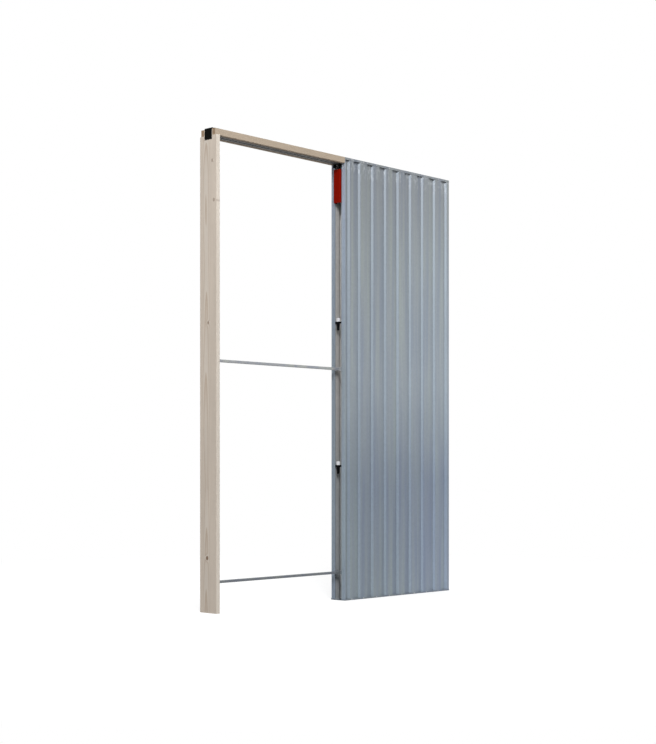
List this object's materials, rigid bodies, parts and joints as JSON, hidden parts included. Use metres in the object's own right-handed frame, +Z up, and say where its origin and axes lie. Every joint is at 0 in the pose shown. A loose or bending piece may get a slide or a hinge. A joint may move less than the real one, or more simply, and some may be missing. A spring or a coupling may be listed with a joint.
{
  "type": "pocket door frame",
  "caption": "Pocket door frame: a corrugated steel cassette that takes a sliding leaf, a timber closing post and a header with a track, held by spacer bars.",
  "frame": {"origin": "on the finished floor, in the middle of the frame's length and of its depth", "axes": "+X along the wall from the closing post to the far end of the cassette, +Y through the wall to the back, +Z up"},
  "size_m": [1.61, 0.105, 2.085],
  "materials": {
    "pine": "planed softwood, unfinished, with fine grain and small knots",
    "galvanised_sheet": "hot-dip galvanised sheet with faint spangle and rolling streaks",
    "aluminium_track": "mill-finish extrusion",
    "black_plastic": "matt moulded black",
    "white_plastic": "satin moulded white",
    "red_plastic": "satin red, bare",
    "black_steel": "satin black coating"
  },
  "bodies": {
    "root": {"closing_post": "pine", "header_strip_front": "pine", "header_strip_back": "pine", "sliding_track": "aluminium_track", "post_track_bracket": "black_steel", "top_rail": "galvanised_sheet", "bottom_rail": "galvanised_sheet", "front_panel": "galvanised_sheet", "back_panel": "galvanised_sheet", "mouth_jamb_front": "galvanised_sheet", "mouth_jamb_back": "galvanised_sheet", "rear_channel": "galvanised_sheet", "spacer_bar_upper": "galvanised_sheet", "spacer_bar_lower": "galvanised_sheet", "bar_foot_upper": "galvanised_sheet", "bar_foot_lower": "galvanised_sheet", "bar_hook_upper": "galvanised_sheet", "bar_hook_lower": "galvanised_sheet", "mouth_red_clip": "red_plastic", "mouth_spacer_upper": "black_plastic", "mouth_spacer_lower": "black_plastic", "spacer_cap_upper": "white_plastic", "spacer_cap_lower": "white_plastic", "mouth_block_front": "black_plastic", "mouth_block_back": "black_plastic"}
  },
  "joints": []
}
